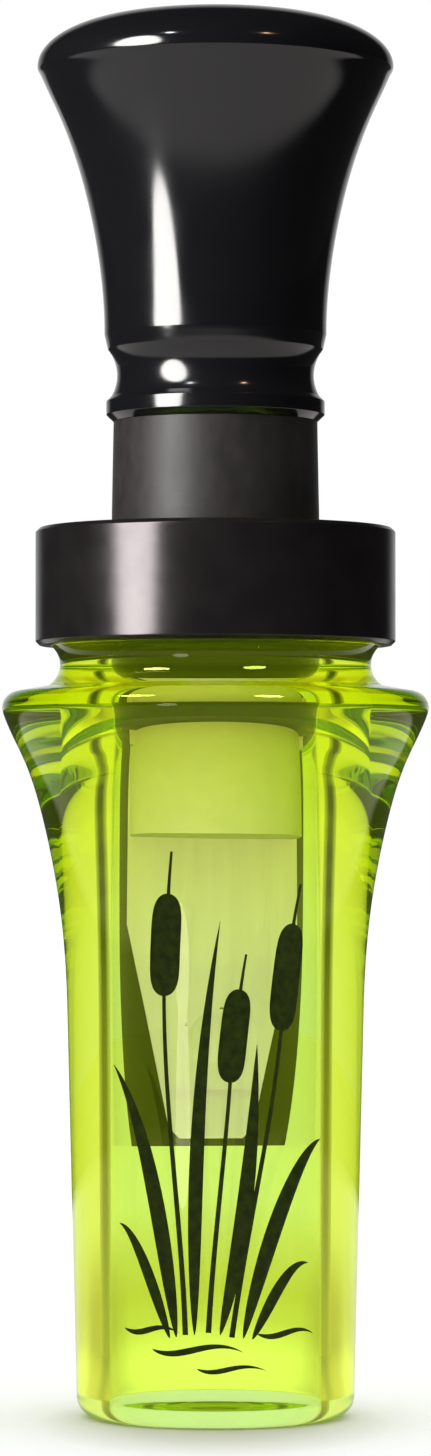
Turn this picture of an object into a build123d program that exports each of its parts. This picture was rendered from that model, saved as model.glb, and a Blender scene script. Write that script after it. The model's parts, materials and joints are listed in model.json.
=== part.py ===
"""A two-reed acrylic duck call, standing on its mouthpiece.

Millimetres. The origin is the centre of the mouthpiece's end face, +Z runs up the bore to the bell, and the
reeds face -Y. Profiles of the turned parts are drawn as (radius, height) and spun about Z.
"""

import os

from build123d import *

# ---- barrel: turned from 1.5 inch acrylic rod ----
BORE_R = 9.3  # straight bore, from the mouthpiece to the tenon's end
MOUTH_R = 12.2  # outside of the mouthpiece
MOUTH_CORNER = 1.9  # outer rounding of the lip the player blows across
MOUTH_INNER_CORNER = 0.4
WAIST = (13.05, 36.0)  # where the straight taper ends and the flare begins
FLARE = [(13.67, 44.4), (15.17, 52.3), (16.85, 57.6)]
FLARE_END = (18.72, 61.75)
SHOULDER_R = 1.5  # rounding over the widest point of the flare
SHOULDER_TURN = 97.0  # degrees it turns through
WAIST_RISE = (0.025, 1)  # directions of the outline where the flare starts and ends
FLARE_RISE = (0.35, 1)
COVE_START = (14.8, 64.2)  # lanyard groove, a cove between the shoulder and the band
COVE_FLOOR = (13.73, 65.9)
COVE_END = (14.55, 67.75)
TENON_R = 13.5
TENON_TOP = 78.1
TENON_CHAMFER = 0.3
SOCKET_CHAMFER = 0.4  # lead-in for the O-rings

# ---- band: standard call band, 1.25 inch outside and 1 1/16 inch inside ----
BAND_OUTER_R = 15.875
BAND_CLEARANCE = 0.02
BAND_CHAMFER = 0.35

# ---- insert: the shank and tone board in one moulding, turned a little in the barrel as it was last pushed in ----
INSERT_TURN = 7.5
SHANK_R = 9.15
SHANK_BOTTOM = 62.5
SHANK_TAPER_START = 79.5  # the exposed neck narrows from here up to the bell
NECK_R = 9.0
SPIGOT_R = 7.0  # glued up inside the bell
SPIGOT_BOTTOM = 87.5
SPIGOT_TOP = 97.0
EXHAUST_R = 5.0  # bore through shank and spigot
EXHAUST_BOTTOM = 65.5  # the bore stops here, and the air channel opens into its side
TONE_BOARD_R = 9.1
TONE_BOARD_TIP = 23.7
FACE_Y = 1.06  # the flat face that the reeds lie on, where it meets the shank
FACE_TILT = 3.4  # degrees that it leans back towards the tip
FACE_FLAT = 20.7  # length of the flat, below the shank
FACE_CURVE_R = 92.5  # below the flat it curves away from the reeds
FACE_CURVE_TURN = 14.0
CHANNEL_R = 3.6  # trough under the reeds
CHANNEL_BELOW = 35.5  # its two ends, measured along the face from the shank's end
CHANNEL_ABOVE = 5.5
POCKET_DEPTH = 1.2  # slot under the shank's lip that holds the reeds' and the wedge's ends
POCKET_FRONT = 4.0
POCKET_HALF_WIDTH = 8.2

# ---- O-rings ----
RING_SECTION_R = 0.75
RING_OUTER_R = 9.28
GROOVE_FLOOR_R = 7.72
GROOVE_HALF_WIDTH = 0.95
RING_HEIGHTS = {"lower_o_ring": 68.6, "upper_o_ring": 74.4}

# ---- reeds and wedge; heights here are measured along the face from the shank's end ----
REED_THICKNESS = 0.25
REED_GAP = 0.03  # air left between stacked flat parts
REED_HALF_WIDTH = 7.94  # 5/8 inch film
REED_TOP = 1.0
REED_TAPER_START = -18.6
REED_CORNER = 1.0
LONG_REED_TIP = (3.9, -38.1)  # (half width, height) of the tip
SHORT_REED_TIP = (4.7, -33.7)
REED_CLAMPED = -10.2  # the wedge holds the reeds above this
DIMPLE_R = 1.6  # pressed into the short reed to hold it off the long one
DIMPLE_DEPTH = 0.2
DIMPLE_HEIGHT = -29.1
SHORT_REED_LEAN = 0.4  # how far its tip stands forward, because of the dimple
WEDGE_R = 7.65
WEDGE_TONGUE_HALF_WIDTH = 7.5
WEDGE_CLEARANCE = 0.1

# ---- bell: turned acrylic end piece ----
BEAD_R = 9.65
BEAD_BOTTOM = 88.1
BEAD_TOP = 89.3
BEAD_CORNER = 0.45
NECK_COVE_FLOOR = (8.69, 91.6)
NECK_COVE_END = (9.5, 93.9)
BELL_WAIST = (9.8, 95.2)
BELL_FLARE = [(10.28, 101.7), (11.64, 108.4), (13.4, 113.7)]
BELL_LIP_START = (15.45, 118.25)
BELL_R = 15.73
BELL_R_HEIGHT = 118.95
BELL_TOP = 123.3
BELL_LIP_RISE = (0.45, 1)  # direction of the outline where the flare meets the lip
BELL_MOUTH_R = 5.6
BELL_MOUTH_CORNER = 0.6
GLUE_GAP = 0.02


def spun(*edges):
    """The solid that a closed outline of (radius, height) edges makes when it is turned about Z."""
    return revolve(Plane.XZ * make_face(Curve() + list(edges)), Axis.Z)


def quarter(start, end, centre):
    """A quarter round from start to end about the given centre."""
    middle = Vector(*start) + Vector(*end) - Vector(*centre) * 2
    radius = (Vector(*start) - Vector(*centre)).length
    return ThreePointArc(start, Vector(*centre) + middle.normalized() * radius, end)


def make_barrel():
    mouth_flat = MOUTH_R - MOUTH_CORNER
    bore_lip = BORE_R + MOUTH_INNER_CORNER
    shoulder = JernArc(FLARE_END, FLARE_RISE, SHOULDER_R, SHOULDER_TURN)
    return spun(
        quarter((BORE_R, MOUTH_INNER_CORNER), (bore_lip, 0), (bore_lip, MOUTH_INNER_CORNER)),
        Line((bore_lip, 0), (mouth_flat, 0)),
        quarter((mouth_flat, 0), (MOUTH_R, MOUTH_CORNER), (mouth_flat, MOUTH_CORNER)),
        Line((MOUTH_R, MOUTH_CORNER), WAIST),
        Spline([WAIST, *FLARE, FLARE_END], tangents=[WAIST_RISE, FLARE_RISE]),
        shoulder,
        Line(shoulder @ 1, COVE_START),
        ThreePointArc(COVE_START, COVE_FLOOR, COVE_END),
        Polyline(
            COVE_END,
            (TENON_R, COVE_END[1]),
            (TENON_R, TENON_TOP - TENON_CHAMFER),
            (TENON_R - TENON_CHAMFER, TENON_TOP),
            (BORE_R + SOCKET_CHAMFER, TENON_TOP),
            (BORE_R, TENON_TOP - SOCKET_CHAMFER),
            (BORE_R, MOUTH_INNER_CORNER),
        ),
    )


def make_band():
    bottom = COVE_END[1] + BAND_CLEARANCE
    inner = TENON_R + BAND_CLEARANCE
    return spun(
        Polyline(
            (inner, bottom),
            (BAND_OUTER_R - BAND_CHAMFER, bottom),
            (BAND_OUTER_R, bottom + BAND_CHAMFER),
            (BAND_OUTER_R, TENON_TOP - BAND_CHAMFER),
            (BAND_OUTER_R - BAND_CHAMFER, TENON_TOP),
            (inner, TENON_TOP),
            close=True,
        )
    )


def make_bell():
    """The glossy end piece: bead, cove, flare and a domed end round the exhaust hole."""
    socket_r = SPIGOT_R + GLUE_GAP
    socket_top = SPIGOT_TOP + GLUE_GAP
    mouth_edge = BELL_MOUTH_R + BELL_MOUTH_CORNER
    dome = EllipticalCenterArc(
        (mouth_edge, BELL_R_HEIGHT), BELL_R - mouth_edge, BELL_TOP - BELL_R_HEIGHT, arc_size=90
    )
    return spun(
        Polyline(
            (NECK_R, SPIGOT_BOTTOM + GLUE_GAP),
            (BEAD_R, BEAD_BOTTOM + GLUE_GAP),
            (BEAD_R, BEAD_TOP),
            (BEAD_R - BEAD_CORNER, BEAD_TOP + BEAD_CORNER),
        ),
        ThreePointArc((BEAD_R - BEAD_CORNER, BEAD_TOP + BEAD_CORNER), NECK_COVE_FLOOR, NECK_COVE_END),
        Line(NECK_COVE_END, BELL_WAIST),
        Spline([BELL_WAIST, *BELL_FLARE, BELL_LIP_START], tangents=[(0, 1), BELL_LIP_RISE]),
        Spline([BELL_LIP_START, (BELL_R, BELL_R_HEIGHT)], tangents=[BELL_LIP_RISE, (0, 1)]),
        dome,
        quarter((mouth_edge, BELL_TOP), (BELL_MOUTH_R, BELL_TOP - BELL_MOUTH_CORNER),
                (mouth_edge, BELL_TOP - BELL_MOUTH_CORNER)),
        Polyline(
            (BELL_MOUTH_R, BELL_TOP - BELL_MOUTH_CORNER),
            (EXHAUST_R, socket_top),
            (socket_r, socket_top),
            (socket_r, SPIGOT_BOTTOM + GLUE_GAP),
            (NECK_R, SPIGOT_BOTTOM + GLUE_GAP),
        ),
    )


def make_shank():
    """The round end of the insert, with its two O-ring grooves, and the spigot that the bell is glued on."""
    profile = [(0, EXHAUST_BOTTOM), (0, SHANK_BOTTOM), (SHANK_R, SHANK_BOTTOM)]
    for height in sorted(RING_HEIGHTS.values()):
        low, high = height - GROOVE_HALF_WIDTH, height + GROOVE_HALF_WIDTH
        profile += [(SHANK_R, low), (GROOVE_FLOOR_R, low), (GROOVE_FLOOR_R, high), (SHANK_R, high)]
    profile += [
        (SHANK_R, SHANK_TAPER_START),
        (NECK_R, SPIGOT_BOTTOM),
        (SPIGOT_R, SPIGOT_BOTTOM),
        (SPIGOT_R, SPIGOT_TOP),
        (EXHAUST_R, SPIGOT_TOP),
        (EXHAUST_R, EXHAUST_BOTTOM),
    ]
    return spun(Polyline(*profile, close=True))


def on_face(shape):
    """A shape drawn on the tone board's face, X across it, Z up it and -Y out of it, put in its place."""
    return Pos(0, FACE_Y, SHANK_BOTTOM) * Rot(FACE_TILT, 0, 0) * shape


def from_side(outline, half_width):
    """A prism across the call, from a closed outline of (depth, height)."""
    return extrude(Plane.YZ * make_face(outline), half_width, both=True)


def behind_face():
    """Everything behind the tone board's face: flat below the shank, then curving away towards the tip."""
    far = 2 * BORE_R
    bend = (0, -FACE_FLAT)
    curve = JernArc(bend, (0, -1), FACE_CURVE_R, FACE_CURVE_TURN)
    back = Polyline(curve @ 1, (far, (curve @ 1).Y), (far, REED_TOP), (0, REED_TOP), bend)
    return on_face(from_side(Curve() + [curve, back], BORE_R))


def make_tone_board():
    """The insert: shank above, half-round tone board below, with the air channel open under the reeds."""
    board = Pos(0, 0, TONE_BOARD_TIP) * Cylinder(
        TONE_BOARD_R,
        SHANK_BOTTOM - TONE_BOARD_TIP,
        align=(Align.CENTER, Align.CENTER, Align.MIN),
    )
    channel = Pos(0, 0, -CHANNEL_BELOW) * Cylinder(
        CHANNEL_R,
        CHANNEL_BELOW + CHANNEL_ABOVE,
        align=(Align.CENTER, Align.CENTER, Align.MIN),
    )
    pocket = Box(
        2 * POCKET_HALF_WIDTH,
        POCKET_FRONT,
        POCKET_DEPTH + REED_TOP,
        align=(Align.CENTER, Align.MAX, Align.CENTER),
    )
    pocket = Pos(0, 0, (POCKET_DEPTH - REED_TOP) / 2) * pocket
    return make_shank() + (board & behind_face()) - on_face(channel) - on_face(pocket)


def reed_fronts():
    """How far in front of the face the front sides of the long and the short reed are."""
    long_front = -REED_GAP - REED_THICKNESS
    return long_front, long_front - REED_GAP - REED_THICKNESS


def make_reed(front, tip, lean):
    """A strip of reed film: flat under the wedge, then leaning forward to its tapered tip with clipped corners."""
    half_tip, tip_height = tip
    side = [
        (REED_HALF_WIDTH, REED_TOP),
        (REED_HALF_WIDTH, REED_TAPER_START),
        (half_tip, tip_height + REED_CORNER),
        (half_tip - REED_CORNER, tip_height),
    ]
    mirrored = [(-x, z) for x, z in reversed(side)]
    outline = extrude(Plane.XZ * make_face(Polyline(*side, *mirrored, close=True)), BORE_R, both=True)
    back = front + REED_THICKNESS
    strip = Polyline(
        (front, REED_TOP),
        (back, REED_TOP),
        (back, REED_CLAMPED),
        (back - lean, tip_height),
        (front - lean, tip_height),
        (front, REED_CLAMPED),
        close=True,
    )
    return from_side(strip, REED_HALF_WIDTH) & outline


def make_long_reed():
    """The reed that lies on the tone board."""
    front, _ = reed_fronts()
    return on_face(make_reed(front, LONG_REED_TIP, 0))


def make_short_reed():
    """The front reed, held off the long one by a dimple: a hollow in its front and a bump on its back."""
    _, front = reed_fronts()
    reed = make_reed(front, SHORT_REED_TIP, SHORT_REED_LEAN)
    lean_here = SHORT_REED_LEAN * (REED_CLAMPED - DIMPLE_HEIGHT) / (REED_CLAMPED - SHORT_REED_TIP[1])
    ball_r = (DIMPLE_R**2 + DIMPLE_DEPTH**2) / (2 * DIMPLE_DEPTH)
    hollow = Pos(0, front - lean_here + DIMPLE_DEPTH - ball_r, DIMPLE_HEIGHT) * Sphere(ball_r)
    bump = Pos(0, REED_THICKNESS, 0) * hollow
    around = Pos(0, front, DIMPLE_HEIGHT) * Box(4 * DIMPLE_R, 4 * REED_THICKNESS, 4 * DIMPLE_R)
    return on_face(reed - hollow + (bump & around - hollow))


def make_wedge():
    """The half-moon wedge that clamps both reeds on the tone board, its tongue caught under the shank's lip."""
    _, short_front = reed_fronts()
    back = short_front - REED_GAP
    side = Polyline(
        (back, REED_CLAMPED),
        (back, REED_TOP),
        (-2 * WEDGE_R, REED_TOP),
        (-2 * WEDGE_R, REED_CLAMPED),
        close=True,
    )
    half_moon = Pos(0, 0, TONE_BOARD_TIP) * Cylinder(
        WEDGE_R,
        SHANK_BOTTOM - WEDGE_CLEARANCE - TONE_BOARD_TIP,
        align=(Align.CENTER, Align.CENTER, Align.MIN),
    )
    tongue = Pos(0, back, REED_TOP) * Box(
        2 * WEDGE_TONGUE_HALF_WIDTH,
        POCKET_FRONT + back - WEDGE_CLEARANCE,
        2 * REED_TOP,
        align=(Align.CENTER, Align.MAX, Align.MAX),
    )
    return (half_moon & on_face(from_side(side, WEDGE_R))) + on_face(tongue)


def make_o_ring(height):
    return Pos(0, 0, height) * Torus(RING_OUTER_R - RING_SECTION_R, RING_SECTION_R)


def main():
    parts = {
        "barrel": make_barrel(),
        "band": make_band(),
        "bell": make_bell(),
        "tone_board_insert": make_tone_board(),
        "long_reed": make_long_reed(),
        "short_reed": make_short_reed(),
        "reed_wedge": make_wedge(),
    }
    for name in ("tone_board_insert", "long_reed", "short_reed", "reed_wedge"):
        parts[name] = Rot(0, 0, INSERT_TURN) * parts[name]
    for name, height in RING_HEIGHTS.items():
        parts[name] = make_o_ring(height)
    os.makedirs("parts", exist_ok=True)
    for name, shape in parts.items():
        export_step(shape, f"parts/{name}.step")
        print(name, len(shape.solids()), "solid", round(shape.volume, 1), "mm3")


main()
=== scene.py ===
"""The looks of the duck call: finely turned surfaces, film reeds, a painted marsh motif and a white studio.

Metres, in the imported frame: the mouthpiece's end is at Z = 0, the bell is up, and the reeds face -Y.
"""

import json
import math

import bmesh
import bpy
import numpy as np
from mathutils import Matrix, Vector


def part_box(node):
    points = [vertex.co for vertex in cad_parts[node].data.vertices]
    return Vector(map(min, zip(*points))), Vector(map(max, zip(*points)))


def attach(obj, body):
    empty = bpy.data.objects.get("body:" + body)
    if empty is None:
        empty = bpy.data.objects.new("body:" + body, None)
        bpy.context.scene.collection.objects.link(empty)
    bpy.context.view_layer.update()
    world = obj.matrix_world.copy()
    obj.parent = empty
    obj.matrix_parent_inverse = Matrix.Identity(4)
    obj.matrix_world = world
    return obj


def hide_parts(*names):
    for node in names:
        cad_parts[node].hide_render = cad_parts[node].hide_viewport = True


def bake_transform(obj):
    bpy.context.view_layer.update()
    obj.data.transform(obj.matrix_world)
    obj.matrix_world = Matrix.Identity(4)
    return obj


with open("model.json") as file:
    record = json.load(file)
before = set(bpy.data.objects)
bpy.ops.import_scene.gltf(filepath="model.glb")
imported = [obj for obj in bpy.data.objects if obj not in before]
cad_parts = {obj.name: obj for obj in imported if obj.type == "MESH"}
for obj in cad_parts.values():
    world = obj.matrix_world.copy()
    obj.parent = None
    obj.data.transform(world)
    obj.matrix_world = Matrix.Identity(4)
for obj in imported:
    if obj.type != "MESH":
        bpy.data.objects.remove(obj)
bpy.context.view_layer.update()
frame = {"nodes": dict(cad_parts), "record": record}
nodes = frame["nodes"]
body_of = {n: b for b, ns in frame["record"]["behaviour"]["bodies"].items() for n in ns}

MM = 0.001
WELD = 1e-7

# ---- turned pieces ----
SEGMENTS = 256  # round a turned piece
CORNER = math.radians(10)  # an outline that turns more than this at a point has a corner there
LONG_EDGE = 2.8 * MM  # a longer edge of an outline is straight, and a shorter one is part of a curve
FINE_STEP = 0.45 * MM  # curves are redrawn with points this far apart, or closer in tight bends
FINE_TURN = math.radians(2.5)
STRAIGHT_STEP = 1.2 * MM
EDGE_RADIUS = 0.12 * MM  # no turned edge is dead sharp
TENON_R = 13.5 * MM
LEDGE_R = 14.4 * MM
ADHESIVE_IN = 0.03 * MM  # the adhesive wets the acrylic to this depth
ADHESIVE_OUT = 0.01 * MM
REED_CUTS = 60  # strips that a reed is divided into

# ---- studio ----
LIGHT_BOUNCES = 24
FLOOR_SIDE = 6.0
DIFFUSE_LEVEL = 1.22  # how bright the white studio is for matt surfaces
DARK_LEVEL = 0.012  # what gloss reflects of the studio, except straight behind
BACK_LEVEL = 0.8
BACK_FROM, BACK_TO = 0.82, 1.0  # the +Y part of a direction, from where the back of the studio fades in
# within this distance the paper is painted pale in reflections, and painted dark beyond
REFLECTED_PAPER_R = 0.265
REFLECTED_PAPER_BLUR = 0.02
SHADOW_MIDDLE = (0, -0.006, 0)  # the painted soft shadow under the call reaches forward
SHADOW_SHAPE = (1.0, 0.6, 1.0)
SHADOW_EDGE = (0.006, 0.0165)
LIME_POOL_EDGE = (0.011, 0.014)  # inside the call's foot, the paper has a painted glow standing in for the light the acrylic lets in
GLOW_MIDDLE = (0, 0.06, 0)  # and a faint painted glow behind the call, where the barrel gathers light
GLOW_EDGE = (0.025, 0.08)
SIDE_SHADE = (0.66, 0.61, 0.5, 1)
LINE_SHADE = (0.4, 0.38, 0.28, 1)  # painted dark shade that carries the cards' dark lines on down the floor
FLOOR_SHADES = (  # painted shade on the floor that shows through the acrylic, by degrees off straight behind
    (20, (1.0, 1.0, 1.0, 1)),
    (34, SIDE_SHADE),
    (50, SIDE_SHADE),
    (58, LINE_SHADE),
    (62, LINE_SHADE),
    (70, SIDE_SHADE),
)
SHADES_FADE = (0.12, 0.4)  # the painted shades fade out between these distances
FLAG_SPAN = (51, 69)  # degrees off straight behind the call
FLAG_DISTANCE = 0.1
FLAG_HEIGHT = 0.25

# ---- camera ----
LENS = 131.0  # millimetres, on a sensor of this width
SENSOR_WIDTH = 36.0
EYE = (0, -0.467, 0.0491)
AIM = (0, 0, 0.0605)

# ---- lamps ----
WARM_WHITE = (1.0, 0.985, 0.96)
# name, degrees left of the front, distance, bottom, top, half its width in degrees, radiance, colour
LAMPS = [
    ("softbox", 50, 0.2, 0.042, 0.26, 16, 26, WARM_WHITE),
    ("cool_lamp", 36, 0.5, 0.62, 0.7, 4, 60, (0.85, 0.92, 1.0)),
    ("warm_lamp", -40, 0.5, 0.6, 0.66, 3, 50, (1.0, 0.62, 0.34)),
]
SPARKS = [
    ("left_spark", 50, 0.3, 0.27, 0.38, 12, 30, WARM_WHITE),
    ("right_spark", -32, 0.3, 0.24, 0.36, 9, 30, WARM_WHITE),
]
REED_LAMP_AZIMUTH = 20
REED_LAMP_DISTANCE = 0.4
REED_LAMP_AIM = (0, 0, 0.033)
REED_LAMP_REACH = 0.041  # its cone's radius at the call
REED_LAMP_WATTS = 4.1
REED_LAMP_TINT = (0.82, 0.54, 1.0)
GLEAM_AZIMUTH = 25
GLEAM_DISTANCE = 0.36
GLEAM_LIFT = 2 * MM  # above the floor
GLEAM_SIZE = (0.06, 0.4)
GLEAM_RADIANCE = 13
GLEAM_TINT = (0.32, 0.27, 1.0)  # the tint of the barrel's reflections turns this white

# ---- painted motif: cubic curves of (distance round the barrel from the front, height), in millimetres ----
PAINT_UP = 0.02 * MM  # the paint stands this far out of the barrel
PAINT_IN = 0.03 * MM  # and fills its engraving to this depth
PAINT_LAYER = 0.04  # where strokes cross, each one stands this share of PAINT_UP above the one before it
PAINTED_TOP = 57 * MM  # the motif is below this height, on the outside of the barrel
OUTSIDE_R = 11.5 * MM  # the barrel's outline beyond this radius is its outside
STROKE_STEPS = 36
STROKE_COLUMNS = 6
STEM, LEAF, HEAD = "stem", "leaf", "head"
STROKES = [
    (STEM, 0.24, (-2.6, 8.2), (-2.9, 18.0), (-4.6, 28.0), (-4.5, 38.2)),
    (HEAD, 1.35, (-4.5, 37.2), (-4.5, 40.0), (-4.35, 43.0), (-4.1, 46.0)),
    (STEM, 0.16, (-4.1, 45.6), (-4.05, 46.8), (-3.95, 48.0), (-3.8, 49.6)),
    (STEM, 0.24, (-0.6, 8.4), (-0.2, 16.0), (0.9, 24.0), (1.3, 30.6)),
    (HEAD, 1.2, (1.2, 29.8), (1.4, 32.4), (1.7, 35.2), (2.1, 37.8)),
    (STEM, 0.15, (2.1, 37.4), (2.25, 38.4), (2.4, 39.4), (2.65, 40.8)),
    (STEM, 0.24, (1.4, 8.0), (2.8, 18.0), (5.0, 26.0), (5.9, 35.0)),
    (HEAD, 1.3, (5.8, 34.2), (6.1, 37.2), (6.5, 40.4), (7.0, 43.4)),
    (STEM, 0.16, (6.95, 43.0), (7.15, 44.2), (7.35, 45.2), (7.7, 46.8)),
    (LEAF, 0.72, (-3.4, 8.0), (-4.6, 17.0), (-6.2, 27.0), (-9.6, 31.2)),
    (LEAF, 0.62, (-1.8, 8.2), (-1.9, 19.0), (-1.7, 31.0), (0.4, 43.6)),
    (LEAF, 0.7, (0.4, 8.2), (2.6, 17.0), (3.3, 25.0), (3.6, 33.0)),
    (LEAF, 0.72, (2.4, 7.9), (4.6, 17.0), (7.6, 24.0), (10.0, 24.8)),
    (LEAF, 0.5, (-4.0, 7.9), (-5.4, 12.0), (-7.2, 17.2), (-9.0, 17.6)),
    (LEAF, 0.5, (3.2, 7.8), (5.0, 11.2), (6.6, 14.6), (8.6, 14.2)),
    (LEAF, 0.26, (-8.4, 8.6), (-6.4, 7.6), (-5.4, 9.6), (-3.2, 8.4)),
    (LEAF, 0.28, (-5.6, 6.9), (-3.0, 5.7), (-0.6, 8.3), (2.4, 6.7)),
    (LEAF, 0.26, (3.6, 8.3), (5.6, 7.3), (7.0, 9.3), (9.2, 8.1)),
    (LEAF, 0.22, (-1.6, 5.3), (0.4, 4.4), (1.8, 6.2), (4.4, 5.1)),
]


# ---------------------------------------------------------------- outlines of turned parts


def outline_of(node):
    """The closed outline of a turned CAD part as (radius, height) points, cut from its mesh along +X."""
    bm = bmesh.new()
    bm.from_mesh(nodes[node].data)
    bmesh.ops.remove_doubles(bm, verts=bm.verts, dist=WELD)
    everything = bm.verts[:] + bm.edges[:] + bm.faces[:]
    cut = bmesh.ops.bisect_plane(bm, geom=everything, dist=WELD, plane_co=(0, 0, 0), plane_no=(0, 1, 0))
    links = {}
    for e in cut["geom_cut"]:
        if isinstance(e, bmesh.types.BMEdge) and all(v.co.x > 0 for v in e.verts):
            for v in e.verts:
                links.setdefault(v, []).append(e.other_vert(v))
    start = min(links, key=lambda v: (v.co.z, v.co.x))
    loop, here, last = [start], start, None
    while True:
        following = [v for v in links[here] if v is not last]
        last, here = here, following[0]
        if here is start:
            break
        loop.append(here)
    points = [Vector((v.co.x, v.co.z)) for v in loop]
    bm.free()
    return without_straight_points(points)


def without_straight_points(points):
    """The same closed outline without the points that lie on a straight stretch."""
    kept = []
    for i, here in enumerate(points):
        before, after = here - points[i - 1], points[(i + 1) % len(points)] - here
        if before.length > WELD and after.length > WELD and before.angle(after) > 1e-4:
            kept.append(here)
    return kept


def redrawn(points):
    """The closed outline with its curved runs drawn finely on a smooth curve; corners and long edges stay."""
    count = len(points)
    edges = [points[(i + 1) % count] - points[i] for i in range(count)]
    long = [e.length > LONG_EDGE for e in edges]
    corner = [edges[i - 1].angle(edges[i]) > CORNER for i in range(count)]
    first = next(i for i in range(count) if corner[i] or long[i])
    result = []
    i = first
    while i < first + count:
        if long[i % count]:
            result.append(points[i % count])
            i += 1
            continue
        end = i + 1
        while not corner[end % count] and not long[end % count]:
            end += 1
        run = [points[k % count] for k in range(i, end + 1)]
        before, after = (i - 1) % count, end % count
        way_in = edges[before].normalized() if long[before] and not corner[i % count] else None
        way_out = edges[after].normalized() if long[after] and not corner[after] else None
        result += fine_run(run, way_in, way_out)[:-1]
        i = end
    return result


def fine_run(points, way_in, way_out):
    """Closely spaced points on a cubic spline through the given ones. A way is the direction at that end."""
    gaps = [(b - a).length for a, b in zip(points, points[1:])]
    ways = [(b - a) / gap for a, b, gap in zip(points, points[1:], gaps)]
    slopes = spline_slopes(gaps, ways, way_in, way_out)
    result = []
    for k, gap in enumerate(gaps):
        turn = slopes[k].angle(slopes[k + 1])
        steps = max(1, math.ceil(gap / FINE_STEP), math.ceil(turn / FINE_TURN))
        for s in range(steps):
            t = s / steps
            ahead = points[k + 1] * t * t * (3 - 2 * t) + slopes[k + 1] * gap * t * t * (t - 1)
            behind = points[k] * (1 - t) ** 2 * (1 + 2 * t) + slopes[k] * gap * t * (1 - t) ** 2
            result.append(behind + ahead)
    return result + [points[-1]]


def spline_slopes(gaps, ways, way_in, way_out):
    """The slope at each point of a cubic spline, which is free to turn at an end that has no way."""
    count = len(gaps) + 1
    sums = np.zeros((count, count))
    wanted = np.zeros((count, 2))
    for i in range(1, count - 1):
        sums[i, i - 1 : i + 2] = gaps[i], 2 * (gaps[i - 1] + gaps[i]), gaps[i - 1]
        wanted[i] = 3 * (gaps[i] * ways[i - 1] + gaps[i - 1] * ways[i])
    for i, near, way, edge in ((0, 1, way_in, ways[0]), (count - 1, count - 2, way_out, ways[-1])):
        if way is None:
            sums[i, i], sums[i, near] = 2, 1
            wanted[i] = 3 * edge
        else:
            sums[i, i] = 1
            wanted[i] = way
    return [Vector(s) for s in np.linalg.solve(sums, wanted)]


def rounded(points):
    """The outline with each corner turned into a small arc."""
    result = []
    for i, here in enumerate(points):
        before, after = points[i - 1] - here, points[(i + 1) % len(points)] - here
        turn = math.pi - before.angle(after)
        if turn < CORNER:
            result.append(here)
            continue
        reach = min(EDGE_RADIUS * math.tan(turn / 2), 0.45 * before.length, 0.45 * after.length)
        start, end = here + before.normalized() * reach, here + after.normalized() * reach
        steps = max(2, round(turn / math.radians(12)))
        for k in range(steps + 1):
            t = k / steps
            result.append(start.lerp(here, t).lerp(here.lerp(end, t), t))
    return result


def stepped(points):
    """The outline with long stretches divided, and a point close to each end of them to keep shading true."""
    result = []
    near = EDGE_RADIUS
    for i, here in enumerate(points):
        result.append(here)
        run = points[(i + 1) % len(points)] - here
        if run.length < 5 * near:
            continue
        inner = run.length - 2 * near
        count = max(1, math.ceil(inner / STRAIGHT_STEP))
        direction = run.normalized()
        result += [here + direction * (near + inner * k / count) for k in range(count + 1)]
    return result


# ---------------------------------------------------------------- pieces


def linked(name, data):
    """A new object in the scene that shows this mesh, light or camera."""
    thing = bpy.data.objects.new(name, data)
    bpy.context.scene.collection.objects.link(thing)
    return thing


def mesh_from(name, verts, faces):
    """A smooth-shaded mesh with its faces pointing outwards."""
    mesh = bpy.data.meshes.new(name)
    mesh.from_pydata(verts, [], faces)
    bm = bmesh.new()
    bm.from_mesh(mesh)
    bmesh.ops.recalc_face_normals(bm, faces=bm.faces)
    bm.to_mesh(mesh)
    bm.free()
    mesh.shade_smooth()
    return mesh


def turned_from(node, name, material):
    """A finer turned piece in the place of a turned CAD node, and the outline it was turned from."""
    outline = stepped(rounded(redrawn(outline_of(node))))
    piece = turned(name, outline, material)
    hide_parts(node)
    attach(piece, body_of[node])
    return piece, outline


def reed_piece(node, name, material):
    """A reed cut into short strips along its length."""
    mesh = nodes[node].data.copy()
    bm = bmesh.new()
    bm.from_mesh(mesh)
    bmesh.ops.remove_doubles(bm, verts=bm.verts, dist=WELD)
    low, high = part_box(node)
    for k in range(1, REED_CUTS):
        z = low.z + (high.z - low.z) * k / REED_CUTS
        geom = bm.verts[:] + bm.edges[:] + bm.faces[:]
        bmesh.ops.bisect_plane(bm, geom=geom, dist=WELD, plane_co=(0, 0, z), plane_no=(0, 0, 1))
    bm.to_mesh(mesh)
    bm.free()
    mesh.materials.clear()
    mesh.materials.append(material)
    piece = linked(name, mesh)
    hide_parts(node)
    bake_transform(piece)
    return piece


def turned(name, outline, material):
    """A turned piece from a closed outline of (radius, height) points."""
    count = len(outline)
    verts = []
    for s in range(SEGMENTS):
        a = 2 * math.pi * s / SEGMENTS
        verts += [(p.x * math.cos(a), p.x * math.sin(a), p.y) for p in outline]
    faces = []
    for s in range(SEGMENTS):
        here, there = s * count, (s + 1) % SEGMENTS * count
        for i in range(count):
            j = (i + 1) % count
            faces.append((here + i, there + i, there + j, here + j))
    piece = linked(name, mesh_from(name, verts, faces))
    piece.data.materials.append(material)
    return piece


def adhesive_ring(material):
    """The dark adhesive that holds the band: a thin coat on the tenon and on the ledge below the band."""
    bottom, top = (corner.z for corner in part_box("band"))
    outer, inner = TENON_R + ADHESIVE_OUT, TENON_R - ADHESIVE_IN
    foot = [(inner, bottom - ADHESIVE_IN), (LEDGE_R, bottom - ADHESIVE_IN), (LEDGE_R, bottom)]
    stem = [(outer, bottom), (outer, top - MM), (inner, top - MM)]
    piece = turned("adhesive_ring", [Vector(p) for p in foot + stem], material)
    for polygon in piece.data.polygons:
        polygon.use_smooth = False
    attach(piece, "barrel")


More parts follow.
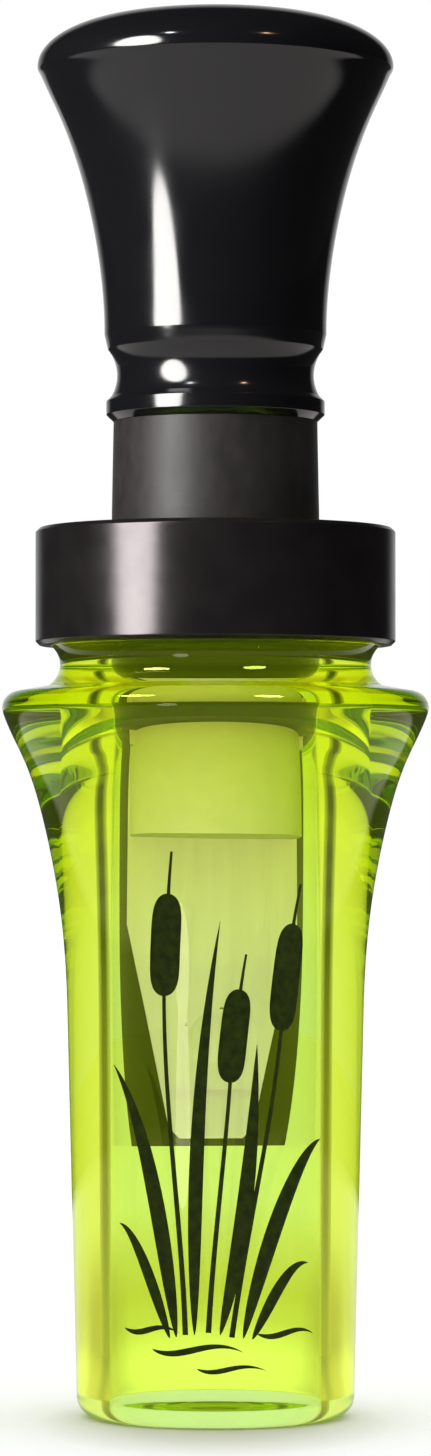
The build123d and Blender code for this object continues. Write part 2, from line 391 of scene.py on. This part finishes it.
def painted_motif(barrel_outline, material):
    """Cattails, leaves and ripples: thin closed strokes of paint, half sunk in the barrel's surface."""
    outside = sorted((p.y, p.x) for p in barrel_outline if p.x > OUTSIDE_R and p.y < PAINTED_TOP)
    heights, radii = zip(*outside)
    verts, faces = [], []
    for number, (kind, half_width, *curve) in enumerate(STROKES):
        lift = PAINT_UP * (1 + PAINT_LAYER * number)
        sides = []
        for depth in (lift, -PAINT_IN):
            grid = []
            for k in range(STROKE_STEPS + 1):
                t = (1 - math.cos(math.pi * k / STROKE_STEPS)) / 2
                centre, across = along(curve, t)
                reach = half_width * width_at(kind, t)
                for c in range(STROKE_COLUMNS + 1):
                    round_by, height = centre + across * reach * (2 * c / STROKE_COLUMNS - 1)
                    radius = float(np.interp(height * MM, heights, radii))
                    angle = round_by * MM / radius
                    radius += depth
                    grid.append((radius * math.sin(angle), -radius * math.cos(angle), height * MM))
            sides.append(grid)
        faces += closed_sheet(len(verts))
        verts += sides[0] + sides[1]
    piece = linked("marsh_motif", mesh_from("marsh_motif", verts, faces))
    piece.data.materials.append(material)
    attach(piece, "barrel")


def along(curve, t):
    """The point at t of a cubic Bezier curve, and the direction across the curve there."""
    a, b, c, d = (Vector(p) for p in curve)
    ab, bc, cd = a.lerp(b, t), b.lerp(c, t), c.lerp(d, t)
    before, after = ab.lerp(bc, t), bc.lerp(cd, t)
    way = (after - before).normalized()
    return before.lerp(after, t), Vector((way.y, -way.x))


def width_at(kind, t):
    """How wide a stroke is at t, as a share of its full width."""
    if kind == HEAD:
        return (1 - abs(2 * t - 1) ** 5) ** 0.5
    if kind == STEM:
        return 1.0 - 0.35 * t
    return max(0.04, math.sin(math.pi * t**0.75) ** 0.8)


def closed_sheet(first):
    """Faces of a closed sheet whose front and back are grids of a stroke's steps and columns."""
    row = STROKE_COLUMNS + 1
    back = first + row * (STROKE_STEPS + 1)
    faces = []
    for k in range(STROKE_STEPS):
        for c in range(STROKE_COLUMNS):
            square = (k * row + c, k * row + c + 1, (k + 1) * row + c + 1, (k + 1) * row + c)
            faces.append(tuple(first + v for v in square))
            faces.append(tuple(back + v for v in reversed(square)))
        for c in (0, STROKE_COLUMNS):
            one, two = k * row + c, (k + 1) * row + c
            faces.append((first + one, first + two, back + two, back + one))
    for k in (0, STROKE_STEPS):
        for c in range(STROKE_COLUMNS):
            one, two = k * row + c, k * row + c + 1
            faces.append((first + one, first + two, back + two, back + one))
    return faces


# ---------------------------------------------------------------- materials


def new_material(name, **values):
    """A material and its Principled shader, with the given constant values on the shader's own sockets."""
    material = bpy.data.materials.new(name)
    material.use_nodes = True
    shader = material.node_tree.nodes["Principled BSDF"]
    for socket, value in values.items():
        shader.inputs[socket.replace("_", " ")].default_value = value
    return material, shader


def add_node(owner, kind, **values):
    """A new node in a material or world. Values name its properties, and its inputs otherwise."""
    node = owner.node_tree.nodes.new("ShaderNode" + kind)
    for key, value in values.items():
        if hasattr(node, key):
            setattr(node, key, value)
        else:
            node.inputs[key.replace("_", " ")].default_value = value
    return node


def join(owner, *pairs):
    for a, b in pairs:
        owner.node_tree.links.new(a, b)


def grain(material, stretch, detail=4.0, roughness=0.6):
    """Noise in the object's own space, stretched by a scale for each axis. It is mostly near 0.5."""
    place = add_node(material, "TexCoord")
    mapping = add_node(material, "Mapping", Scale=stretch)
    noise = add_node(material, "TexNoise", Scale=1.0, Detail=detail, Roughness=roughness)
    join(
        material,
        (place.outputs["Object"], mapping.inputs["Vector"]),
        (mapping.outputs["Vector"], noise.inputs["Vector"]),
    )
    return noise.outputs["Fac"]


def spread(owner, value, low, high, start=0.35, end=0.65):
    """The value between start and end, mapped to low and high."""
    node = add_node(owner, "MapRange", From_Min=start, From_Max=end, To_Min=low, To_Max=high)
    join(owner, (value, node.inputs["Value"]))
    return node.outputs["Result"]


def ramp(material, value, *stops):
    """Colours along a value. Each stop is a position and the colour there."""
    node = add_node(material, "ValToRGB")
    elements = node.color_ramp.elements
    for element, (position, colour) in zip(elements, (stops[0], stops[-1])):
        element.position, element.color = position, colour
    for position, colour in stops[1:-1]:
        elements.new(position).color = colour
    join(material, (value, node.inputs["Fac"]))
    return node.outputs["Color"]


def blend_colours(material, value, first, second, start=0.35, end=0.65):
    """From the first colour to the second as the value goes from start to end."""
    return ramp(material, value, (start, first), (end, second))


def roughen(material, shader, value, strength, distance):
    bump = add_node(material, "Bump", Strength=strength, Distance=distance)
    join(material, (value, bump.inputs["Height"]), (bump.outputs["Normal"], shader.inputs["Normal"]))


def acrylic_lime():
    """Clear lime cast acrylic. Its depth takes out the blue, each surface tints light, and a faint painted
    glow (lime emission) lightens it.
    """
    material, _ = new_material(
        "acrylic_lime",
        Base_Color=(0.785, 0.935, 1.0, 1),
        Specular_Tint=(0.9, 1.0, 0.2, 1),
        # painted glow: a faint lime emission, though the acrylic is no lamp
        Emission_Color=(0.5, 0.72, 0.02, 1),
        Emission_Strength=0.035,
        Roughness=0.0,
        IOR=1.49,
        Transmission_Weight=1.0,
    )
    depth = add_node(material, "VolumeAbsorption", Color=(0.955, 0.972, 0.2, 1), Density=300.0)
    join(material, (depth.outputs["Volume"], material.node_tree.nodes["Material Output"].inputs["Volume"]))
    material.cycles.emission_sampling = "NONE"  # the painted glow is seen, but it isn't a lamp for the other pieces
    return material


def acrylic_black():
    """Polished black acrylic with the hairlines that handling leaves."""
    material, shader = new_material("acrylic_black", Base_Color=(0.0028, 0.0028, 0.0034, 1), IOR=1.49)
    hairlines = grain(material, (900, 900, 260), detail=6, roughness=0.75)
    haze = grain(material, (60, 60, 60), detail=3)
    join(material, (spread(material, haze, 0.07, 0.15), shader.inputs["Roughness"]))
    roughen(material, shader, hairlines, 0.05, 0.02 * MM)
    return material


def anodised_black():
    """Satin black anodised aluminium with fine turning lines."""
    material, shader = new_material("anodised_black", Metallic=0.85)
    lines = grain(material, (40, 40, 9000), detail=3)
    cloud = grain(material, (300, 300, 300))
    colour = blend_colours(material, cloud, (0.026, 0.023, 0.024, 1), (0.034, 0.03, 0.031, 1))
    join(
        material,
        (colour, shader.inputs["Base Color"]),
        (spread(material, cloud, 0.2, 0.24), shader.inputs["Roughness"]),
    )
    roughen(material, shader, lines, 0.12, 0.02 * MM)
    return material


def polymer_black():
    """Machined black polymer, dry and a little mottled."""
    material, shader = new_material("polymer_black", IOR=1.5, Specular_IOR_Level=0.24)
    cloud = grain(material, (900, 900, 600), detail=5)
    lines = grain(material, (30, 30, 7000), detail=3)
    colour = blend_colours(material, cloud, (0.0085, 0.0075, 0.0075, 1), (0.012, 0.0105, 0.0105, 1))
    join(
        material,
        (colour, shader.inputs["Base Color"]),
        (spread(material, cloud, 0.45, 0.52), shader.inputs["Roughness"]),
    )
    roughen(material, shader, lines, 0.2, 0.03 * MM)
    return material


def reed_film():
    """Milky polyester film with faint streaks along its length."""
    material, shader = new_material("reed_film", IOR=1.6)
    streaks = grain(material, (900, 900, 40), detail=4)
    colour = blend_colours(material, streaks, (0.735, 0.75, 0.64, 1), (0.785, 0.8, 0.69, 1))
    join(
        material,
        (colour, shader.inputs["Base Color"]),
        (spread(material, streaks, 0.28, 0.42), shader.inputs["Roughness"]),
    )
    return material


def wedge_cream():
    """Pale moulded plastic, slightly uneven."""
    material, shader = new_material("wedge_cream", Roughness=0.6)
    cloud = grain(material, (500, 500, 500), detail=5)
    colour = blend_colours(material, cloud, (0.7, 0.68, 0.7, 1), (0.74, 0.72, 0.74, 1))
    join(material, (colour, shader.inputs["Base Color"]))
    roughen(material, shader, cloud, 0.2, 0.05 * MM)
    return material


def seal_rubber():
    """Moulded black rubber, slightly dusty."""
    material, shader = new_material("seal_rubber", IOR=1.5)
    dust = grain(material, (1500, 1500, 1500), detail=4)
    colour = blend_colours(material, dust, (0.01, 0.01, 0.01, 1), (0.022, 0.022, 0.021, 1))
    join(
        material,
        (colour, shader.inputs["Base Color"]),
        (spread(material, dust, 0.42, 0.62), shader.inputs["Roughness"]),
    )
    return material


def paint_fill():
    """Dark olive paint with a slightly uneven surface."""
    material, shader = new_material("paint_fill", IOR=1.5, Specular_IOR_Level=0.1)
    cloud = grain(material, (1200, 1200, 1200))
    colour = blend_colours(material, cloud, (0.011, 0.02, 0.0006, 1), (0.024, 0.04, 0.001, 1))
    join(
        material,
        (colour, shader.inputs["Base Color"]),
        (spread(material, cloud, 0.4, 0.6), shader.inputs["Roughness"]),
    )
    return material


# ---------------------------------------------------------------- studio


def angle_off_behind(material, place):
    """How far round the call a point is from straight behind it: 0 to 1 for 0 to 180 degrees either way."""
    axes = add_node(material, "SeparateXYZ")
    sideways = add_node(material, "Math", operation="ABSOLUTE")
    angle = add_node(material, "Math", operation="ARCTAN2")
    join(
        material,
        (place.outputs["Object"], axes.inputs["Vector"]),
        (axes.outputs["X"], sideways.inputs[0]),
        (sideways.outputs["Value"], angle.inputs[0]),
        (axes.outputs["Y"], angle.inputs[1]),
    )
    return spread(material, angle.outputs["Value"], 0, 1, 0, math.pi)


def blend_by(material, kind, factor, first, second):
    """Two colours put together by a blend type."""
    mix = add_node(material, "Mix", data_type="RGBA", blend_type=kind)
    join(material, (factor, mix.inputs["Factor"]), (first, mix.inputs["A"]), (second, mix.inputs["B"]))
    return mix.outputs["Result"]


def distance_from(material, place, middle, shape=(1, 1, 1)):
    """How far a point is from a middle, with each axis weighted by the shape."""
    offset = add_node(material, "VectorMath", operation="SUBTRACT")
    offset.inputs[1].default_value = middle
    shaped = add_node(material, "VectorMath", operation="MULTIPLY")
    shaped.inputs[1].default_value = shape
    length = add_node(material, "VectorMath", operation="LENGTH")
    join(
        material,
        (place.outputs["Object"], offset.inputs[0]),
        (offset.outputs["Vector"], shaped.inputs[0]),
        (shaped.outputs["Vector"], length.inputs[0]),
    )
    return length.outputs["Value"]


def floor_paper():
    """Pale paper with a painted soft shadow under the call. Gloss reflects it only near the call: beyond, it
    is painted dark in reflections, as the studio is. Through the acrylic it is lime near the call: painted
    lime light, with painted shade further out and to the sides, and painted glows inside the foot and behind
    the call."""
    material, shader = new_material("studio_floor", Roughness=0.9)
    place = add_node(material, "TexCoord")
    path = add_node(material, "LightPath")
    away = distance_from(material, place, (0, 0, 0))
    into_painted_shadow = distance_from(material, place, SHADOW_MIDDLE, SHADOW_SHAPE)
    edge = (REFLECTED_PAPER_R - REFLECTED_PAPER_BLUR, REFLECTED_PAPER_R + REFLECTED_PAPER_BLUR)
    # painted reflection: pale paper near the call, dark beyond
    reflected = blend_colours(material, away, (0.78, 0.74, 0.72, 1), (0.012, 0.012, 0.012, 1), *edge)
    # painted lime light near the call, painted olive shade a little further out, then paper
    through = ramp(
        material,
        away,
        (0.09, (0.93, 0.86, 0.2, 1)),
        (0.2, (0.78, 0.68, 0.1, 1)),
        (0.5, (0.93, 0.91, 0.6, 1)),
    )
    # painted shade to the sides, fading out with distance
    shades = [(degrees / 180, tone) for degrees, tone in FLOOR_SHADES]
    shade = ramp(material, angle_off_behind(material, place), *shades)
    through = blend_by(material, "MULTIPLY", spread(material, away, 1, 0, *SHADES_FADE), through, shade)
    # painted soft shadow under the call, in the paper's own colour
    seen = blend_colours(material, into_painted_shadow, (0.64, 0.65, 0.55, 1), (1.0, 1.0, 1.0, 1), *SHADOW_EDGE)
    colour = seen
    for ray, other in (("Is Transmission Ray", through), ("Is Reflection Ray", reflected)):
        choice = add_node(material, "Mix", data_type="RGBA")
        join(
            material,
            (path.outputs[ray], choice.inputs["Factor"]),
            (colour, choice.inputs["A"]),
            (other, choice.inputs["B"]),
        )
        colour = choice.outputs["Result"]
    # painted glows: lime inside the call's foot, and a faint one behind the call
    painted_lime_pool = blend_colours(material, away, (0.5, 0.66, 0.06, 1), (0, 0, 0, 1), *LIME_POOL_EDGE)
    from_painted_glow = distance_from(material, place, GLOW_MIDDLE)
    glow = blend_colours(material, from_painted_glow, (0.4, 0.36, 0.18, 1), (0, 0, 0, 1), *GLOW_EDGE)
    through_acrylic = path.outputs["Is Transmission Ray"]
    join(
        material,
        (colour, shader.inputs["Base Color"]),
        (blend_by(material, "LIGHTEN", through_acrylic, painted_lime_pool, glow), shader.inputs["Emission Color"]),
        (through_acrylic, shader.inputs["Emission Strength"]),
    )
    return material


def studio():
    """A pale floor in a white studio that is dark on the camera's side, so that black gloss stays black."""
    floor = linked("studio_floor", bpy.data.meshes.new("studio_floor"))
    corners = [(x * FLOOR_SIDE, y * FLOOR_SIDE, 0) for x, y in ((-1, -1), (1, -1), (1, 1), (-1, 1))]
    floor.data.from_pydata(corners, [], [(0, 1, 2, 3)])
    floor.data.materials.append(floor_paper())

    world = bpy.data.worlds.new("studio")
    bpy.context.scene.world = world
    world.use_nodes = True
    background = world.node_tree.nodes["Background"]
    background.inputs["Color"].default_value = (1, 1, 1, 1)
    path = add_node(world, "LightPath")
    place = add_node(world, "TexCoord")
    axes = add_node(world, "SeparateXYZ")
    back = spread(world, axes.outputs["Y"], DARK_LEVEL, BACK_LEVEL, BACK_FROM, BACK_TO)
    reflected = add_node(world, "Mix", A=1.0)
    level = add_node(world, "Mix", B=DIFFUSE_LEVEL)
    join(
        world,
        (place.outputs["Generated"], axes.inputs["Vector"]),
        (path.outputs["Is Reflection Ray"], reflected.inputs["Factor"]),
        (back, reflected.inputs["B"]),
        (path.outputs["Is Diffuse Ray"], level.inputs["Factor"]),
        (reflected.outputs["Result"], level.inputs["A"]),
        (level.outputs["Result"], background.inputs["Strength"]),
    )


def out_from(azimuth):
    """The level direction from the call towards an azimuth, in degrees left (+) or right (-) of the front."""
    angle = math.radians(azimuth)
    return Vector((-math.sin(angle), -math.cos(angle), 0))


def facing(way):
    """The rotation that turns a lamp or camera towards a direction."""
    return way.to_track_quat("-Z", "Y").to_euler()


def lamp_from(data, location, rotation):
    """A lamp that shows as reflections only, neither to the camera nor as sparkles through the acrylic."""
    lamp = linked(data.name, data)
    lamp.location = location
    lamp.rotation_euler = rotation
    lamp.visible_camera = False
    lamp.visible_transmission = False
    return lamp


def oval_light(name, width, height, radiance, colour):
    data = bpy.data.lights.new(name, "AREA")
    data.shape = "ELLIPSE"
    data.size = width
    data.size_y = height
    data.energy = radiance * math.pi * (math.pi / 4) * width * height
    data.color = colour
    return data


def upright_lamp(name, azimuth, distance, low, high, half_turn, radiance, colour):
    """An upright lamp face between two heights, seen as half_turn wide to each side from the call's axis."""
    width = 2 * distance * math.tan(math.radians(half_turn))
    data = oval_light(name, width, high - low, radiance, colour)
    outwards = out_from(azimuth)
    location = outwards * distance + Vector((0, 0, (low + high) / 2))
    return lamp_from(data, location, facing(-outwards))


def reed_lamp():
    """A tinted spot on the reeds at rest. Its cone ends under the band, so it misses them when pulled out."""
    data = bpy.data.lights.new("inner_lamp", "SPOT")
    data.energy = REED_LAMP_WATTS
    data.color = REED_LAMP_TINT
    data.shadow_soft_size = 0.03
    data.spot_size = 2 * math.atan(REED_LAMP_REACH / REED_LAMP_DISTANCE)
    data.spot_blend = 0.1
    outwards = out_from(REED_LAMP_AZIMUTH)
    return lamp_from(data, Vector(REED_LAMP_AIM) + outwards * REED_LAMP_DISTANCE, facing(-outwards))


def gleam_lamp():
    """A dim oval on the floor in front, which shows as a soft gleam where the barrel starts to flare."""
    data = oval_light("floor_lamp", *GLEAM_SIZE, GLEAM_RADIANCE, GLEAM_TINT)
    location = out_from(GLEAM_AZIMUTH) * GLEAM_DISTANCE + Vector((0, 0, GLEAM_LIFT))
    return lamp_from(data, location, (math.pi, 0, -math.radians(GLEAM_AZIMUTH)))


def card_paper():
    """Card that is dark along its upright middle and fades to white at its sides. Near its foot it is lighter
    and lime: painted lime light.
    """
    material, shader = new_material("dark_card", Roughness=0.9)
    place = add_node(material, "TexCoord")
    axes = add_node(material, "SeparateXYZ")
    from_middle = add_node(material, "Math", operation="SUBTRACT")
    from_middle.inputs[1].default_value = 0.5
    to_side = add_node(material, "Math", operation="ABSOLUTE")
    # near the foot both ramps are lighter and lime: painted lime light
    dark = ramp(
        material,
        axes.outputs["Z"],
        (0.0, (0.45, 0.4, 0.1, 1)),
        (0.055, (0.32, 0.29, 0.1, 1)),
        (0.2, (0.05, 0.05, 0.04, 1)),
    )
    pale = ramp(material, axes.outputs["Z"], (0.0, (0.68, 0.62, 0.16, 1)), (0.17, (0.8, 0.8, 0.8, 1)))
    card_colour = add_node(material, "Mix", data_type="RGBA")
    join(
        material,
        (place.outputs["Generated"], axes.inputs["Vector"]),
        (axes.outputs["X"], from_middle.inputs[0]),
        (from_middle.outputs["Value"], to_side.inputs[0]),
        (spread(material, to_side.outputs["Value"], 0, 1, 0.15, 0.5), card_colour.inputs["Factor"]),
        (dark, card_colour.inputs["A"]),
        (pale, card_colour.inputs["B"]),
        (card_colour.outputs["Result"], shader.inputs["Base Color"]),
    )
    return material


def flags():
    """Dark cards beside the white background, which draw the dark lines at the bore's edges."""
    material = card_paper()
    for side, name in ((-1, "card_left"), (1, "card_right")):
        card = linked(name, bpy.data.meshes.new("card"))
        ends = [math.radians(a) for a in FLAG_SPAN]
        inner, outer = [(side * FLAG_DISTANCE * math.sin(a), FLAG_DISTANCE * math.cos(a)) for a in ends]
        verts = [(*inner, 0.0), (*outer, 0.0), (*outer, FLAG_HEIGHT), (*inner, FLAG_HEIGHT)]
        card.data.from_pydata(verts, [], [(0, 1, 2, 3)])
        card.data.materials.append(material)
        card.visible_camera = False
        card.visible_glossy = False
        card.visible_diffuse = False
        card.visible_shadow = False


def lit_only(lamp, pieces, shading=None):
    """The lamp lights these pieces and nothing else. Where shading pieces are given, only they shade it."""
    lit = bpy.data.collections.new("lit_by_" + lamp.name)
    for piece in pieces:
        lit.objects.link(piece)
    lamp.light_linking.receiver_collection = lit
    if shading is not None:
        shades = bpy.data.collections.new("shades_" + lamp.name)
        for piece in shading:
            shades.objects.link(piece)
        lamp.light_linking.blocker_collection = shades


def lights(clear, black, pale):
    """Lamps for the black pieces, for the pale ones inside the barrel, and for gleams on the barrel."""
    for settings in LAMPS:
        lit_only(upright_lamp(*settings), black)
    lit_only(reed_lamp(), pale, black[:1])
    for settings in SPARKS:
        lit_only(upright_lamp(*settings), clear)
    lit_only(gleam_lamp(), clear)


def camera():
    data = bpy.data.cameras.new("camera")
    data.lens = LENS
    data.sensor_width = SENSOR_WIDTH
    data.clip_start = 0.01
    cam = linked("camera", data)
    cam.location = EYE
    cam.rotation_euler = facing(Vector(AIM) - Vector(EYE))
    bpy.context.scene.camera = cam


def main():
    camera()
    barrel, barrel_outline = turned_from("barrel", "barrel_turned", acrylic_lime())
    band, _ = turned_from("band", "band_turned", anodised_black())
    bell, _ = turned_from("bell", "bell_turned", acrylic_black())
    rubber = seal_rubber()
    for node, material in (
        ("tone_board_insert", polymer_black()),
        ("reed_wedge", wedge_cream()),
        ("lower_o_ring", rubber),
        ("upper_o_ring", rubber),
    ):
        nodes[node].data.materials.clear()
        nodes[node].data.materials.append(material)
    film = reed_film()
    long_reed = reed_piece("long_reed", "long_reed_film", film)
    short_reed = reed_piece("short_reed", "short_reed_film", film)
    painted_motif(barrel_outline, paint_fill())
    adhesive_ring(seal_rubber())
    studio()
    flags()
    lights([barrel], [band, bell, nodes["tone_board_insert"]], [long_reed, short_reed, nodes["reed_wedge"]])
    scene = bpy.context.scene
    scene.view_settings.view_transform = "Standard"
    scene.cycles.max_bounces = LIGHT_BOUNCES
    scene.cycles.transmission_bounces = LIGHT_BOUNCES
    scene.cycles.glossy_bounces = LIGHT_BOUNCES


main()
